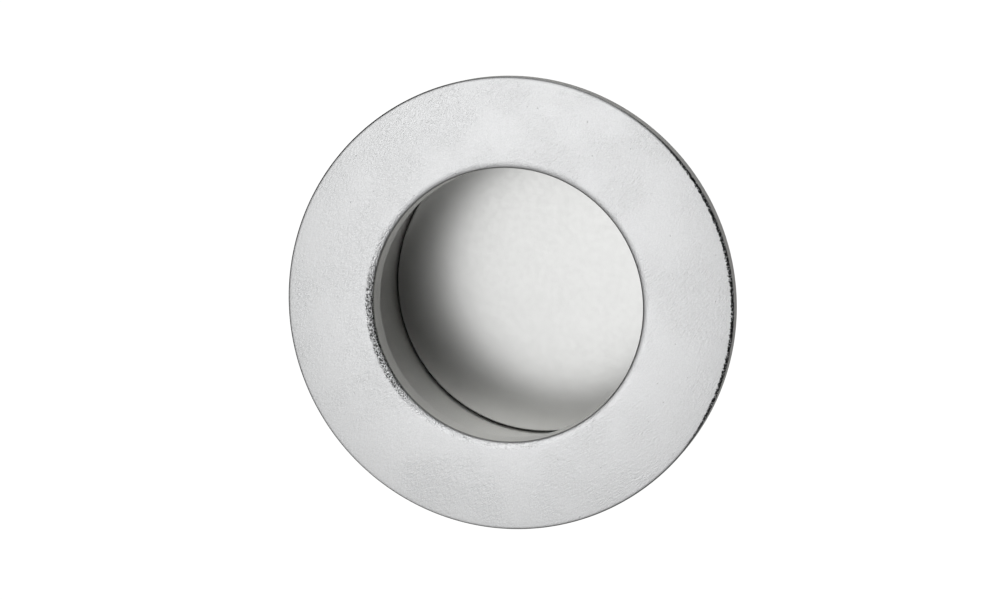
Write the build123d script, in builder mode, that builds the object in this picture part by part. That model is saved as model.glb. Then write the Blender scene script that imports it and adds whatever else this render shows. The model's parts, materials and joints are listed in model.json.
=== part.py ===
from build123d import *
import os
from math import radians, tan

# Round flush pull for a sliding door: a body with a crowned flange and an undercut finger recess, closed by a
# floor disc.
# The axis runs along +Y, into the door. The door's surface is the plane y = 0, and the front faces -Y.

# Driving dimensions across the axis, in millimetres, from the opening outwards
opening_diameter = 27.2
grip_overhang = 2.0
skirt_wall = 1.8
flange_overlap = 5.1

# Driving dimensions along the axis, from the front backwards: the flange is measured at its outer edge, and the
# lip at the rim, which stands forward of that edge by the crown
crown_height = 0.5
flange_thickness = 2.0
lip_thickness = 2.7
cavity_height = 14.3
floor_thickness = 1.5

# Draft of the opening, in degrees: it narrows towards the recess
opening_draft = 2.0

# Edges and corners
rim_radius = 0.75
flange_edge_break = 0.25
flange_back_break = 0.1
grip_edge_break = 0.15
skirt_lead_in = 0.5
skirt_bore_break = 0.2

# Floor disc: the gap round it, and the chamfer that shows as a dark joint line
floor_clearance = 0.05
floor_joint_chamfer = 0.2

# Glue grooves round the skirt
groove_count = 3
groove_width = 0.8
groove_depth = 0.25

# How far an edge may lie from the place where it is looked for
search_tolerance = 0.001

# Radii that follow from these
opening_radius = opening_diameter / 2
lip_radius = opening_radius - lip_thickness * tan(radians(opening_draft))
cavity_radius = opening_radius + grip_overhang
skirt_radius = cavity_radius + skirt_wall
flange_radius = skirt_radius + flange_overlap
floor_radius = cavity_radius - floor_clearance

# Places along the axis that follow from these
door_face = 0.0
flange_front = door_face - flange_thickness
rim_front = flange_front - crown_height
lip_back = rim_front + lip_thickness
floor_front = lip_back + cavity_height
skirt_end = floor_front + floor_thickness
groove_pitch = (skirt_end - door_face) / (groove_count + 1)


def ring_edges(part, place):
    """The circular edges of a part at one place along its axis, the smallest first."""
    circles = part.edges().filter_by(GeomType.CIRCLE)
    near = circles.filter_by_position(Axis.Y, place - search_tolerance, place + search_tolerance)
    return near.sort_by(SortBy.RADIUS)


# Body: flange, overhanging lip and skirt, turned from one section
with BuildPart() as pull_body:
    with BuildSketch(Plane.XY) as section:
        with BuildLine():
            TangentArc((opening_radius, rim_front), (flange_radius, flange_front), tangent=(1, 0))
            Polyline(
                (flange_radius, flange_front),
                (flange_radius, door_face),
                (skirt_radius, door_face),
                (skirt_radius, skirt_end),
                (cavity_radius, skirt_end),
                (cavity_radius, lip_back),
                (lip_radius, lip_back),
                (opening_radius, rim_front),
            )
        make_face()
        fillet(section.vertices().sort_by(Axis.Y)[0], rim_radius)
        chamfer(section.vertices().group_by(Axis.X)[-1].sort_by(Axis.Y)[0], flange_edge_break)
    revolve(axis=Axis.Y)

    with BuildSketch(Plane.XY):
        with Locations((skirt_radius, (door_face + skirt_end) / 2)):
            with GridLocations(groove_depth, groove_pitch, 1, groove_count):
                Rectangle(2 * groove_depth, groove_width)
    revolve(axis=Axis.Y, mode=Mode.SUBTRACT)

    chamfer(ring_edges(pull_body, door_face)[-1], flange_back_break)
    chamfer(ring_edges(pull_body, lip_back)[0], grip_edge_break)
    chamfer(ring_edges(pull_body, skirt_end)[-1], skirt_lead_in)
    chamfer(ring_edges(pull_body, skirt_end)[0], skirt_bore_break)

# Floor: a plain disc pressed into the skirt from behind until it is flush with the skirt's end
with BuildPart() as floor_disc:
    with BuildSketch(Plane.XZ.offset(-floor_front)):
        Circle(floor_radius)
    extrude(amount=-floor_thickness)
    chamfer(floor_disc.edges().filter_by(GeomType.CIRCLE), floor_joint_chamfer)

pull_body.part.label = "pull_body"
floor_disc.part.label = "floor_disc"

os.makedirs("parts", exist_ok=True)
export_step(pull_body.part, "parts/pull_body.step")
export_step(floor_disc.part, "parts/floor_disc.step")
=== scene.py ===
import json
from math import asin, cos, degrees, hypot, pi, radians, sin, sqrt, tan
from types import SimpleNamespace

import bpy
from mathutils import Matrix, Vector


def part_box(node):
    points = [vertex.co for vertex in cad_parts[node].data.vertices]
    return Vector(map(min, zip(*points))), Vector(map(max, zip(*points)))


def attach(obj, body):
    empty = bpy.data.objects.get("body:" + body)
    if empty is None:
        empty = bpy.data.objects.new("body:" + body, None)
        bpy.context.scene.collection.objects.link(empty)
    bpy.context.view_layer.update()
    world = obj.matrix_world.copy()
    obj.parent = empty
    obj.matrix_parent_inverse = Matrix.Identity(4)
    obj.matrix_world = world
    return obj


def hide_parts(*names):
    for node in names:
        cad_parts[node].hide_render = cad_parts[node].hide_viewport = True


# Round flush pull: a turned body in blasted metal and a satin floor disc, in a white studio.
# The axis runs along +Y, into the door, and the front faces -Y.

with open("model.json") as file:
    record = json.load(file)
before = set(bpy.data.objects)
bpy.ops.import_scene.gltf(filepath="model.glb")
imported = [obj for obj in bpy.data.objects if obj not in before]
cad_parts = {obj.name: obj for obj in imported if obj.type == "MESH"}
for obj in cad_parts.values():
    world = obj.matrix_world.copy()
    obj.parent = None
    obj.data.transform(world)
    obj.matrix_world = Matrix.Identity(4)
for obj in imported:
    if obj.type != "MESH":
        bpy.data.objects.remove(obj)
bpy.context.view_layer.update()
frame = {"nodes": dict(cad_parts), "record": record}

MM = 0.001

# Sizes read from the frame
body_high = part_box("pull_body")[1]
mounts = {mount["name"]: mount for mount in frame["record"]["mounts"]}
FLANGE_RADIUS = body_high.x
SKIRT_END = body_high.y
SKIRT_RADIUS = mounts["skirt"]["dims"]["r_mm"] * MM
DOOR_FACE = mounts["skirt"]["pos_m"][1]

# Sizes that the frame doesn't state, as in the solids
OPENING_RADIUS = 13.6 * MM
OPENING_DRAFT = radians(2.0)
CAVITY_RADIUS = 15.6 * MM
FLANGE_THICKNESS = 2.0 * MM
CROWN_HEIGHT = 0.5 * MM
LIP_THICKNESS = 2.7 * MM
FLANGE_BACK_BREAK = 0.1 * MM
GRIP_EDGE_BREAK = 0.15 * MM
SKIRT_LEAD_IN = 0.5 * MM
SKIRT_BORE_BREAK = 0.2 * MM
GROOVE_COUNT = 3
GROOVE_WIDTH = 0.8 * MM
GROOVE_DEPTH = 0.25 * MM

# Places along the axis that follow from these
FLANGE_FRONT = DOOR_FACE - FLANGE_THICKNESS
RIM_FRONT = FLANGE_FRONT - CROWN_HEIGHT
LIP_BACK = RIM_FRONT + LIP_THICKNESS

# Roundings that differ from the solids: an oval shoulder at the rim, and a round outer edge
RIM_WIDTH = 0.8 * MM
RIM_DEPTH = 0.3 * MM
FLANGE_EDGE_RADIUS = 0.35 * MM

# Fineness of the turned mesh
SEGMENTS = 512
ARC_STEPS = 14
EDGE_MARGIN = 0.04 * MM
LONG_RUN = 0.65 * MM
SHARP_ANGLE = radians(25)

# Colours: the face is a shade of the body's colour, and the recess and the flange's side have a warm tint
BODY_COLOUR = (0.82, 0.825, 0.83)
FACE_SHADE = 0.91
WALL_TINT = (1.06, 1.05, 1.01)
FLOOR_COLOUR = (0.54, 0.542, 0.535)

# Shares of metal, the rest being matt, and how much of the lip's share the flange's side takes
FACE_METALLIC = 0.65
LIP_METALLIC = 0.8
BACK_METALLIC = 0.6
SIDE_SHARE = 0.5

# Roughness
FACE_ROUGHNESS = 0.45
SPECK_ROUGHNESS = 0.35
EDGE_ROUGHNESS = 0.3
WALL_ROUGHNESS = 0.45
LIP_ROUGHNESS = 0.5
FLOOR_ROUGHNESS = 0.3

# Faint changes of brightness and roughness: the size of their features, and how far they go up and down
CLOUD_SIZE = 3.0 * MM
CLOUD_CHANGE = 0.008
MOTTLE_SIZE = 0.12 * MM
MOTTLE_CHANGE = 0.03
ROUGH_SIZE = 0.8 * MM
ROUGH_CHANGE = 0.01
FLOOR_CLOUD_SIZE = 1.5 * MM
FLOOR_CLOUD_CHANGE = 0.01
FLOOR_ROUGH_SIZE = 0.6 * MM
FLOOR_ROUGH_CHANGE = 0.015

# Middle of a noise, and the span in which most of its values lie
NOISE_MIDDLE = 0.5
NOISE_SPAN = (0.3, 0.7)

# Fine slanted ridges on the face, stronger in patches
RIDGE_SIZE = 0.11 * MM
RIDGE_SLANT = radians(45)
RIDGE_STRETCH = 3.0
RIDGE_HEIGHT = 0.05 * MM
PATCH_SIZE = 6.0 * MM
PATCH_SPAN = (0.38, 0.62)
PATCH_LOWEST = 0.4

# Specks on the rim: coarse at the left, where part of them carry painted shade, and fainter at the bottom. An
# angle goes from the right over the top, in degrees. A spread holds the cosines from that angle at which
# specks begin and are full.
SPECK_SIZE = 0.16 * MM
SPECK_DETAIL = 1.0
SPECK_HEIGHT = 0.14 * MM
SPECK_REACH = 0.9 * MM
SPECK_ANGLE = 195
SPECK_SPREAD = (0.35, 1.0)
SHADED_SPECK_SPREAD = (0.82, 0.97)
SHADED_SPECK_SPAN = (0.52, 0.4)
PAINTED_SPECK_SHADE = 0.15
BOTTOM_ANGLE = 252
BOTTOM_SPREAD = (0.65, 0.9)
BOTTOM_SPECKS = 0.5

# Painted shade: a dark line at the rim's inner edge
LINE_WIDTH = 0.12 * MM
RIM_LINE_PAINTED_SHADE = 0.5

# Painted shade: a dark line round the outer edge, thin, but broad, ragged and broken at the right
EDGE_ANGLE = 5
EDGE_SPREAD = (0.7, 0.9)
EDGE_RAGGED = 0.5 * MM
EDGE_BROADER = 0.16 * MM
PAINTED_EDGE_SHADE = 0.1
PAINTED_THIN_EDGE_SHADE = 0.35
EDGE_GAP_SPAN = (0.47, 0.38)
EDGE_GAP_SHARE = 0.35

# Small pits on the face, with painted shade in them
PIT_SPACING = 1.3 * MM
PIT_RADIUS = 0.08 * MM
PIT_BOTTOM = 0.3 * PIT_RADIUS
PIT_DEPTH = 0.02 * MM
PIT_PAINTED_SHADE = 0.75

# Turned lines behind the flange
TURNING_SPACING = 0.12 * MM
TURNING_HEIGHT = 0.006 * MM

# Dark joint round the floor disc
JOINT_WIDTH = 0.13 * MM
JOINT_SHADE = 0.5

# Places between which one finish passes into the next: radii, depths, and the normal's share along the axis
RIM_RADII = (OPENING_RADIUS + 1.1 * RIM_WIDTH, OPENING_RADIUS + 0.7 * RIM_WIDTH)
RIM_DEPTHS = (RIM_FRONT + SPECK_REACH, RIM_FRONT)
LINE_RADII = (OPENING_RADIUS + 1.5 * LINE_WIDTH, OPENING_RADIUS + 0.5 * LINE_WIDTH)
LINE_DEPTHS = (RIM_FRONT + 2 * RIM_DEPTH, RIM_FRONT + RIM_DEPTH)
EDGE_RADII = (FLANGE_RADIUS - 0.5 * FLANGE_EDGE_RADIUS, FLANGE_RADIUS - 0.3 * FLANGE_EDGE_RADIUS)
LIP_RADII = (OPENING_RADIUS + 0.3 * MM, OPENING_RADIUS + 0.05 * MM)
SIDE_RADII = (SKIRT_RADIUS, SKIRT_RADIUS + 1.0 * MM)
BACK_RADII = (CAVITY_RADIUS + 0.05 * MM, CAVITY_RADIUS + 0.15 * MM)
BACK_DEPTHS = (DOOR_FACE - 0.1 * MM, DOOR_FACE)
JOINT_RADII = (CAVITY_RADIUS - 1.3 * JOINT_WIDTH, CAVITY_RADIUS - 0.9 * JOINT_WIDTH)
FRONT_FACING = (-0.1, -0.6)
BACK_FACING = (0.3, 0.6)

# Camera, at the photograph's viewing angle
AZIMUTH = radians(12.58)
ELEVATION = radians(7.47)
LENS = 100.0
SENSOR = 36.0
IMAGE_WIDTH = 1000
IMAGE_HEIGHT = 600
CAMERA_DISTANCE = 0.2731
CLIP_START = 0.01
CLIP_END = 100
FACE_CENTRE_PIXEL = (506.0, 306.1)

# Studio: a white floor under a white sky, and a round wall and a low card that only the metal sees
FLOOR_HEIGHT = -0.17
FLOOR_HALF = 20.0
FLOOR_WHITE = (0.8, 0.8, 0.8, 1)
FLOOR_GLOW = 0.25
SKY_WHITE = (1, 1, 1, 1)
SKY_LEVEL = 1.0
WALL_RADIUS = 0.3
WALL_TOP = 0.52
WALL_SEGMENTS = 96
CARD_HEIGHT = FLOOR_HEIGHT + 0.005
CARD_LEVEL = 0.3

# Soft lamp on the wall: its brightest place, and how far it fades to each side
LAMP_AZIMUTH = radians(4)
LAMP_LEFT = radians(72)
LAMP_RIGHT = radians(8)
LAMP_HEIGHT = 0.16
LAMP_DROP = 0.9
LAMP_RISE = 0.3
LAMP_LEVEL = 2.2

# Rest of the wall: dark at the sides, dim at the back
SIDE_MIDDLE = radians(-22)
SIDE_HALF = radians(118)
SIDE_FADE = radians(8)
SIDE_LEVEL = 0.02
BACK_LEVEL = 0.16


def arc(centre, across, along, first, last):
    """Points of a round or oval arc in the turning plane, from the first angle to the last, in degrees."""
    points = []
    for step in range(ARC_STEPS + 1):
        angle = radians(first + (last - first) * step / ARC_STEPS)
        points.append((centre[0] + across * cos(angle), centre[1] + along * sin(angle)))
    return points


def with_margins(outline):
    """The outline with a point close to both ends of each long run, so that flat faces shade flat."""
    points = []
    for start, end in zip(outline, outline[1:] + outline[:1]):
        points.append(start)
        length = hypot(end[0] - start[0], end[1] - start[1])
        if length > LONG_RUN:
            for along in (EDGE_MARGIN / length, 1 - EDGE_MARGIN / length):
                points.append(tuple(a + (b - a) * along for a, b in zip(start, end)))
    return points


def turned(name, outline):
    """A mesh turned round the Y axis from a closed outline of (radius, depth) points."""
    points = with_margins(outline)
    count = len(points)
    vertices = []
    for segment in range(SEGMENTS):
        angle = 2 * pi * segment / SEGMENTS
        vertices += [(radius * cos(angle), depth, radius * sin(angle)) for radius, depth in points]
    faces = []
    for segment in range(SEGMENTS):
        here = segment * count
        there = (segment + 1) % SEGMENTS * count
        for place in range(count):
            after = (place + 1) % count
            faces.append((here + place, there + place, there + after, here + after))
    mesh = bpy.data.meshes.new(name)
    mesh.from_pydata(vertices, [], faces)
    mesh.validate()
    mesh.shade_smooth()
    mesh.set_sharp_from_angle(angle=SHARP_ANGLE)
    piece = bpy.data.objects.new(name, mesh)
    bpy.context.scene.collection.objects.link(piece)
    return piece


def front_outline():
    """Section of the body's front: the rim's shoulder, the crown and the outer edge."""
    width = FLANGE_RADIUS - OPENING_RADIUS
    crown_radius = (width ** 2 + CROWN_HEIGHT ** 2) / (2 * CROWN_HEIGHT)
    crown_centre = (OPENING_RADIUS, RIM_FRONT + crown_radius)

    def under_crown(radius, inset):
        """The point at a radius that lies an inset under the crown, and the crown's angle there."""
        depth = crown_centre[1] - sqrt((crown_radius - inset) ** 2 - (radius - OPENING_RADIUS) ** 2)
        return (radius, depth), 270 + degrees(asin((radius - OPENING_RADIUS) / (crown_radius - inset)))

    rim_top, rim_end = under_crown(OPENING_RADIUS - RIM_DEPTH * tan(OPENING_DRAFT) + RIM_WIDTH, 0)
    rim_centre = (rim_top[0], rim_top[1] + RIM_DEPTH)
    edge_centre, edge_start = under_crown(FLANGE_RADIUS - FLANGE_EDGE_RADIUS, FLANGE_EDGE_RADIUS)
    outline = arc(rim_centre, RIM_WIDTH, RIM_DEPTH, 180, 270)
    outline += arc(crown_centre, crown_radius, crown_radius, rim_end, edge_start)[1:]
    outline += arc(edge_centre, FLANGE_EDGE_RADIUS, FLANGE_EDGE_RADIUS, edge_start, 360)[1:]
    return outline


def body_outline():
    """Section of the body, from the rim outwards, back along the skirt and forward through the recess."""
    lip_radius = OPENING_RADIUS - LIP_THICKNESS * tan(OPENING_DRAFT)
    outline = front_outline()
    outline += [
        (FLANGE_RADIUS, DOOR_FACE - FLANGE_BACK_BREAK),
        (FLANGE_RADIUS - FLANGE_BACK_BREAK, DOOR_FACE),
        (SKIRT_RADIUS, DOOR_FACE),
    ]
    pitch = (SKIRT_END - DOOR_FACE) / (GROOVE_COUNT + 1)
    for groove in range(GROOVE_COUNT):
        middle = DOOR_FACE + pitch * (groove + 1)
        outline += [
            (SKIRT_RADIUS, middle - GROOVE_WIDTH / 2),
            (SKIRT_RADIUS - GROOVE_DEPTH, middle - GROOVE_WIDTH / 2),
            (SKIRT_RADIUS - GROOVE_DEPTH, middle + GROOVE_WIDTH / 2),
            (SKIRT_RADIUS, middle + GROOVE_WIDTH / 2),
        ]
    outline += [
        (SKIRT_RADIUS, SKIRT_END - SKIRT_LEAD_IN),
        (SKIRT_RADIUS - SKIRT_LEAD_IN, SKIRT_END),
        (CAVITY_RADIUS + SKIRT_BORE_BREAK, SKIRT_END),
        (CAVITY_RADIUS, SKIRT_END - SKIRT_BORE_BREAK),
        (CAVITY_RADIUS, LIP_BACK),
        (lip_radius + GRIP_EDGE_BREAK, LIP_BACK),
        (lip_radius, LIP_BACK - GRIP_EDGE_BREAK),
    ]
    return outline


def add_node(tree, kind, inputs=None, **settings):
    """A new node with its settings, its inputs set to values or linked to other nodes."""
    node = tree.nodes.new(kind)
    for setting, value in settings.items():
        setattr(node, setting, value)
    for socket, value in (inputs or {}).items():
        if isinstance(value, bpy.types.NodeSocket):
            tree.links.new(value, node.inputs[socket])
        else:
            node.inputs[socket].default_value = value
    return node


def combine(tree, operation, first, second=0.0):
    """The result of an operation on one or two numbers or node outputs."""
    return add_node(tree, "ShaderNodeMath", {0: first, 1: second}, operation=operation).outputs[0]


def product(tree, first, *others):
    """The product of numbers and node outputs."""
    for other in others:
        first = combine(tree, "MULTIPLY", first, other)
    return first


def fade(tree, value, start, end, first=0.0, last=1.0):
    """A smooth change from one number to another while the value goes from start to end."""
    inputs = {"Value": value, "From Min": start, "From Max": end, "To Min": first, "To Max": last}
    return add_node(tree, "ShaderNodeMapRange", inputs, interpolation_type="SMOOTHSTEP").outputs[0]


def between(tree, mask, first, last):
    """A smooth change from one number to another while a mask goes from 0 to 1."""
    return fade(tree, mask, 0.0, 1.0, first, last)


def noise(tree, place, size, detail=2.0):
    """Noise from 0 to 1 whose features are about as large as the size, in metres."""
    inputs = {"Vector": place, "Scale": 1 / size, "Detail": detail}
    return add_node(tree, "ShaderNodeTexNoise", inputs).outputs[0]


def grain(tree, place, size, amount):
    """Noise about zero, times an amount."""
    return product(tree, combine(tree, "SUBTRACT", noise(tree, place, size), NOISE_MIDDLE), amount)


def varied(tree, place, size, middle, change):
    """A number that noise moves up and down from its middle."""
    return fade(tree, noise(tree, place, size), *NOISE_SPAN, middle - change, middle + change)


def tinted(tree, colour, brightness):
    """A colour times a brightness."""
    scaled = add_node(tree, "ShaderNodeVectorMath", {0: colour, "Scale": brightness}, operation="SCALE")
    return scaled.outputs[0]


def blend(tree, factor, first, last):
    """A mix of two colours."""
    inputs = {"Factor": factor, 4: first, 5: last}
    return add_node(tree, "ShaderNodeMix", inputs, data_type="VECTOR").outputs[1]


def toward(tree, across, angle):
    """The cosine between the way out from the axis and an angle round it, in degrees."""
    outward = add_node(tree, "ShaderNodeVectorMath", {0: across}, operation="NORMALIZE").outputs[0]
    side = (cos(radians(angle)), 0, sin(radians(angle)))
    cosine = add_node(tree, "ShaderNodeVectorMath", {0: outward, 1: side}, operation="DOT_PRODUCT")
    return cosine.outputs["Value"]


def surface_spot(tree):
    """Where a point lies on the object: its place, its offset from the axis, radius, depth and facing."""
    coordinates = tree.nodes.new("ShaderNodeTexCoord").outputs
    split = add_node(tree, "ShaderNodeSeparateXYZ", {0: coordinates["Object"]}).outputs
    across = add_node(tree, "ShaderNodeCombineXYZ", {"X": split["X"], "Z": split["Z"]}).outputs[0]
    radius = add_node(tree, "ShaderNodeVectorMath", {0: across}, operation="LENGTH").outputs["Value"]
    facing = add_node(tree, "ShaderNodeSeparateXYZ", {0: coordinates["Normal"]}).outputs["Y"]
    return SimpleNamespace(
        place=coordinates["Object"], across=across, radius=radius, depth=split["Y"], facing=facing
    )


def new_metal(name):
    """A material, its node tree, the inputs of its metal shader, and the spot on the object."""
    material = bpy.data.materials.new(name)
    material.use_nodes = True
    tree = material.node_tree
    shader = tree.nodes["Principled BSDF"].inputs
    shader["Metallic"].default_value = 1.0
    return material, tree, shader, surface_spot(tree)


def body_zones(tree, spot):
    """Masks from 0 to 1 for the parts of the body that are finished differently or carry painted shade, and
    the specks' noise.
    """
    zones = SimpleNamespace()
    zones.front = fade(tree, spot.facing, *FRONT_FACING)
    zones.lip = fade(tree, spot.radius, *LIP_RADII)
    zones.side = fade(tree, spot.radius, *SIDE_RADII, 0.0, SIDE_SHARE)
    zones.back = product(tree, fade(tree, spot.radius, *BACK_RADII), fade(tree, spot.depth, *BACK_DEPTHS))
    zones.rim = product(tree, fade(tree, spot.radius, *RIM_RADII), fade(tree, spot.depth, *RIM_DEPTHS))
    # Painted shade along the rim's inner edge
    zones.line = product(tree, fade(tree, spot.radius, *LINE_RADII), fade(tree, spot.depth, *LINE_DEPTHS))

    # Specks on the rim; those at the left carry painted shade
    zones.specks = noise(tree, spot.place, SPECK_SIZE, SPECK_DETAIL)
    to_left = toward(tree, spot.across, SPECK_ANGLE)
    left = fade(tree, to_left, *SPECK_SPREAD)
    bottom = fade(tree, toward(tree, spot.across, BOTTOM_ANGLE), *BOTTOM_SPREAD, 0.0, BOTTOM_SPECKS)
    zones.worn = product(tree, zones.rim, combine(tree, "MAXIMUM", left, bottom))
    dark = product(tree, fade(tree, to_left, *SHADED_SPECK_SPREAD), fade(tree, zones.specks, *SHADED_SPECK_SPAN))
    zones.dark_specks = product(tree, dark, zones.worn)

    # Painted shade in a line round the outer edge
    zones.torn = fade(tree, toward(tree, spot.across, EDGE_ANGLE), *EDGE_SPREAD)
    shift = combine(tree, "ADD", grain(tree, spot.place, SPECK_SIZE, EDGE_RAGGED), EDGE_BROADER)
    ragged = combine(tree, "ADD", spot.radius, product(tree, shift, zones.torn))
    gaps = product(tree, zones.torn, fade(tree, zones.specks, *EDGE_GAP_SPAN))
    broken = between(tree, gaps, 1.0, EDGE_GAP_SHARE)
    zones.edge = product(tree, fade(tree, ragged, *EDGE_RADII), zones.front, broken)

    # Pits
    cells = add_node(tree, "ShaderNodeTexVoronoi", {"Vector": spot.place, "Scale": 1 / PIT_SPACING})
    pits = fade(tree, cells.outputs["Distance"], PIT_RADIUS / PIT_SPACING, PIT_BOTTOM / PIT_SPACING)
    zones.pits = product(tree, pits, zones.front)
    return zones


def body_height(tree, spot, zones):
    """Height of the fine relief: ridges and pits on the face, specks on the rim, turned lines at the back."""
    slant = {"Vector": spot.place, "Rotation": (0, -RIDGE_SLANT, 0), "Scale": (RIDGE_STRETCH, 1, 1)}
    slanted = add_node(tree, "ShaderNodeMapping", slant, vector_type="TEXTURE").outputs[0]
    patch = fade(tree, noise(tree, spot.place, PATCH_SIZE), *PATCH_SPAN, PATCH_LOWEST, 1.0)
    ridges = grain(tree, slanted, RIDGE_SIZE, product(tree, patch, zones.front))
    specks = product(tree, combine(tree, "SUBTRACT", zones.specks, NOISE_MIDDLE), zones.worn)
    along = combine(tree, "ADD", spot.depth, spot.radius)
    rings = {"W": along, "Scale": 1 / TURNING_SPACING}
    lines = add_node(tree, "ShaderNodeTexNoise", rings, noise_dimensions="1D").outputs[0]
    lines = product(tree, lines, zones.back)
    height = product(tree, ridges, RIDGE_HEIGHT)
    height = combine(tree, "ADD", height, product(tree, specks, SPECK_HEIGHT))
    height = combine(tree, "SUBTRACT", height, product(tree, zones.pits, PIT_DEPTH))
    return combine(tree, "ADD", height, product(tree, lines, TURNING_HEIGHT))


def body_colour(tree, spot, zones):
    """The body's colour: faintly mottled, with painted shade in pits, on specks at the rim's left and in
    lines at the rim and the outer edge.
    """
    outer_painted_shade = between(tree, zones.torn, PAINTED_THIN_EDGE_SHADE, PAINTED_EDGE_SHADE)
    brightness = product(
        tree,
        varied(tree, spot.place, CLOUD_SIZE, 1.0, CLOUD_CHANGE),
        varied(tree, spot.place, MOTTLE_SIZE, 1.0, MOTTLE_CHANGE),
        between(tree, zones.pits, 1.0, PIT_PAINTED_SHADE),
        between(tree, zones.dark_specks, 1.0, PAINTED_SPECK_SHADE),
        between(tree, zones.line, 1.0, RIM_LINE_PAINTED_SHADE),
        between(tree, zones.edge, 1.0, outer_painted_shade),
    )
    plain = tinted(tree, BODY_COLOUR, brightness)
    walls = add_node(tree, "ShaderNodeVectorMath", {0: plain, 1: WALL_TINT}, operation="MULTIPLY").outputs[0]
    colour = blend(tree, zones.back, walls, plain)
    return blend(tree, zones.front, colour, tinted(tree, plain, FACE_SHADE))


def body_metallic(tree, zones):
    """Share of metal: whole on the recess's wall, the rim and the outer line, partly matt elsewhere."""
    walls = between(tree, combine(tree, "MAXIMUM", zones.lip, zones.side), 1.0, LIP_METALLIC)
    face = between(tree, combine(tree, "MAXIMUM", zones.rim, zones.edge), FACE_METALLIC, 1.0)
    share = between(tree, zones.front, walls, face)
    return between(tree, zones.back, share, BACK_METALLIC)


def body_roughness(tree, spot, zones):
    """Roughness of the walls, and of the face with its specks and its outer line."""
    face = between(tree, zones.worn, FACE_ROUGHNESS, SPECK_ROUGHNESS)
    face = between(tree, zones.edge, face, EDGE_ROUGHNESS)
    walls = between(tree, zones.lip, WALL_ROUGHNESS, LIP_ROUGHNESS)
    rough = between(tree, zones.front, walls, face)
    return combine(tree, "ADD", rough, varied(tree, spot.place, ROUGH_SIZE, 0.0, ROUGH_CHANGE))


def blasted_metal():
    """Pale metal: blasted and slightly pitted on the face, satin on the walls, turned at the back."""
    material, tree, shader, spot = new_metal("blasted_metal")
    zones = body_zones(tree, spot)
    relief = {"Height": body_height(tree, spot, zones), "Strength": 1.0, "Distance": 1.0}
    tree.links.new(add_node(tree, "ShaderNodeBump", relief).outputs[0], shader["Normal"])
    tree.links.new(body_colour(tree, spot, zones), shader["Base Color"])
    tree.links.new(body_metallic(tree, zones), shader["Metallic"])
    tree.links.new(body_roughness(tree, spot, zones), shader["Roughness"])
    return material


def satin_metal():
    """Smooth satin metal with a faint clouding, dark in the joint round it and partly matt at the back."""
    material, tree, shader, spot = new_metal("satin_metal")
    cloud = varied(tree, spot.place, FLOOR_CLOUD_SIZE, 1.0, FLOOR_CLOUD_CHANGE)
    joint = fade(tree, spot.radius, *JOINT_RADII, 1.0, JOINT_SHADE)
    tree.links.new(tinted(tree, FLOOR_COLOUR, product(tree, cloud, joint)), shader["Base Color"])
    tree.links.new(fade(tree, spot.facing, *BACK_FACING, 1.0, BACK_METALLIC), shader["Metallic"])
    rough = varied(tree, spot.place, FLOOR_ROUGH_SIZE, FLOOR_ROUGHNESS, FLOOR_ROUGH_CHANGE)
    tree.links.new(rough, shader["Roughness"])
    return material


def add_camera():
    """The scene's camera, aimed so that the centre of the face falls on its pixel."""
    back = Vector((sin(AZIMUTH) * cos(ELEVATION), -cos(AZIMUTH) * cos(ELEVATION), sin(ELEVATION)))
    right = Vector((cos(AZIMUTH), sin(AZIMUTH), 0))
    up = back.cross(right)
    pixel = CAMERA_DISTANCE * SENSOR / LENS / IMAGE_WIDTH
    aim = Vector((0, RIM_FRONT, 0))
    aim -= right * (FACE_CENTRE_PIXEL[0] - IMAGE_WIDTH / 2) * pixel
    aim += up * (FACE_CENTRE_PIXEL[1] - IMAGE_HEIGHT / 2) * pixel
    camera_data = bpy.data.cameras.new("camera")
    camera_data.lens = LENS
    camera_data.sensor_width = SENSOR
    camera_data.clip_start = CLIP_START
    camera_data.clip_end = CLIP_END
    camera = bpy.data.objects.new("camera", camera_data)
    bpy.context.scene.collection.objects.link(camera)
    camera.location = aim + back * CAMERA_DISTANCE
    camera.rotation_mode = "QUATERNION"
    camera.rotation_quaternion = (-back).to_track_quat("-Z", "Y")
    bpy.context.scene.camera = camera


def stage_mesh(name, vertices, faces):
    """A piece of the studio, and the empty node tree of its material."""
    mesh = bpy.data.meshes.new(name)
    mesh.from_pydata(vertices, [], faces)
    piece = bpy.data.objects.new(name, mesh)
    bpy.context.scene.collection.objects.link(piece)
    material = bpy.data.materials.new(name)
    material.use_nodes = True
    material.node_tree.nodes.clear()
    mesh.materials.append(material)
    return piece, material.node_tree


def add_floor():
    """A wide white floor that keeps the object's shadow."""
    corners = ((-1, -1), (1, -1), (1, 1), (-1, 1))
    vertices = [(x * FLOOR_HALF, y * FLOOR_HALF, FLOOR_HEIGHT) for x, y in corners]
    tree = stage_mesh("studio_floor", vertices, [(0, 1, 2, 3)])[1]
    rays = tree.nodes.new("ShaderNodeLightPath").outputs
    seen = combine(tree, "MAXIMUM", rays["Is Camera Ray"], rays["Is Glossy Ray"])
    seen = combine(tree, "MAXIMUM", seen, rays["Is Transmission Ray"])
    diffuse = add_node(tree, "ShaderNodeBsdfDiffuse", {"Color": FLOOR_WHITE})
    glow = add_node(tree, "ShaderNodeEmission", {"Strength": product(tree, seen, FLOOR_GLOW)})
    both = add_node(tree, "ShaderNodeAddShader", {0: diffuse.outputs[0], 1: glow.outputs[0]})
    add_node(tree, "ShaderNodeOutputMaterial", {"Surface": both.outputs[0]})


def show_to_metal_only(piece, tree, strength):
    """Lets a piece of the studio glow, seen by nothing but reflections."""
    piece.visible_camera = False
    piece.visible_diffuse = False
    piece.visible_shadow = False
    piece.visible_transmission = False
    glow = add_node(tree, "ShaderNodeEmission", {"Strength": strength})
    add_node(tree, "ShaderNodeOutputMaterial", {"Surface": glow.outputs[0]})


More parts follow.
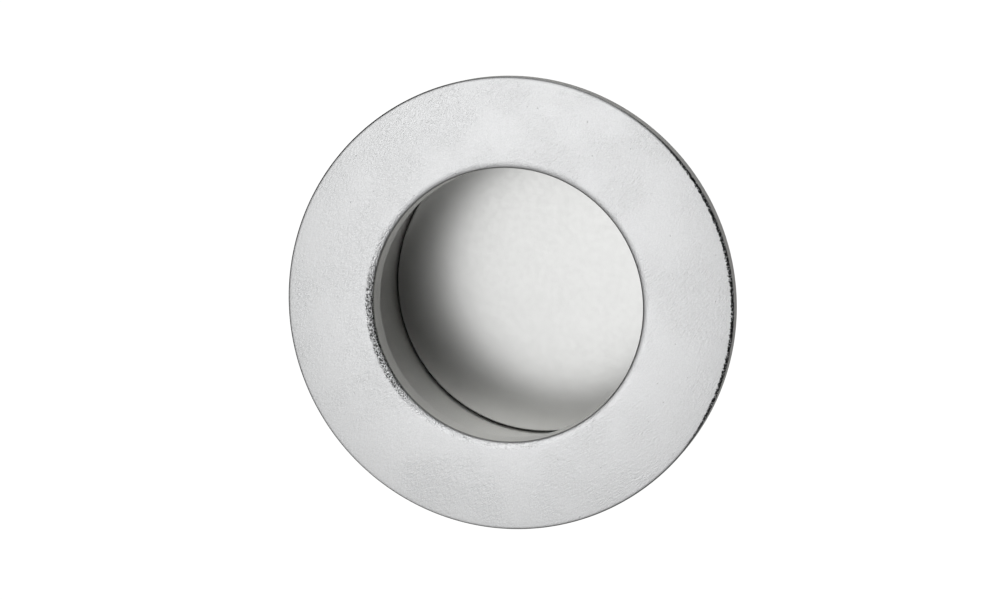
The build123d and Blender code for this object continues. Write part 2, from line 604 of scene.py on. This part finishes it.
def share_of(tree, start, end, reach):
    """The distance from start to end, as a share of the reach."""
    return combine(tree, "DIVIDE", combine(tree, "SUBTRACT", end, start), reach)


def wall_strength(tree):
    """Strength of the wall: a soft lamp, dark sides and a dim back."""
    place = tree.nodes.new("ShaderNodeTexCoord").outputs["Object"]
    split = add_node(tree, "ShaderNodeSeparateXYZ", {0: place}).outputs
    azimuth = combine(tree, "ARCTAN2", split["X"], product(tree, split["Y"], -1.0))
    to_left = share_of(tree, azimuth, LAMP_AZIMUTH, LAMP_LEFT)
    to_right = share_of(tree, LAMP_AZIMUTH, azimuth, LAMP_RIGHT)
    below = share_of(tree, split["Z"], LAMP_HEIGHT, LAMP_DROP)
    above = share_of(tree, LAMP_HEIGHT, split["Z"], LAMP_RISE)
    aside = combine(tree, "MAXIMUM", to_left, to_right)
    along = combine(tree, "MAXIMUM", below, above)
    squares = combine(tree, "ADD", product(tree, aside, aside), product(tree, along, along))
    away = combine(tree, "SQRT", squares)
    from_middle = combine(tree, "ABSOLUTE", combine(tree, "SUBTRACT", azimuth, SIDE_MIDDLE))
    dim = fade(tree, from_middle, SIDE_HALF - SIDE_FADE, SIDE_HALF + SIDE_FADE, SIDE_LEVEL, BACK_LEVEL)
    return fade(tree, away, 1.0, 0.0, dim, LAMP_LEVEL)


def add_card_and_wall():
    """The low card and the round wall that the metal reflects."""
    ring = [2 * pi * segment / WALL_SEGMENTS for segment in range(WALL_SEGMENTS)]
    low_ring = [(WALL_RADIUS * cos(angle), WALL_RADIUS * sin(angle), FLOOR_HEIGHT) for angle in ring]
    high_ring = [(x, y, WALL_TOP) for x, y, z in low_ring]
    card_ring = [(x, y, CARD_HEIGHT) for x, y, z in low_ring]
    card, tree = stage_mesh("studio_card", card_ring, [tuple(range(WALL_SEGMENTS))])
    show_to_metal_only(card, tree, CARD_LEVEL)
    wall_faces = []
    for segment in range(WALL_SEGMENTS):
        after = (segment + 1) % WALL_SEGMENTS
        wall_faces.append((segment, after, WALL_SEGMENTS + after, WALL_SEGMENTS + segment))
    wall, tree = stage_mesh("studio_wall", low_ring + high_ring, wall_faces)
    show_to_metal_only(wall, tree, wall_strength(tree))


def add_sky():
    """A plain white sky."""
    world = bpy.data.worlds.new("studio")
    world.use_nodes = True
    background = world.node_tree.nodes["Background"].inputs
    background["Color"].default_value = SKY_WHITE
    background["Strength"].default_value = SKY_LEVEL
    bpy.context.scene.world = world


body = turned("pull_body_turned", body_outline())
body.data.materials.append(blasted_metal())
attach(body, "root")
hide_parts("pull_body")

disc = frame["nodes"]["floor_disc"]
disc.data.materials.clear()
disc.data.materials.append(satin_metal())

add_camera()
add_floor()
add_card_and_wall()
add_sky()
bpy.context.scene.view_settings.view_transform = "Standard"
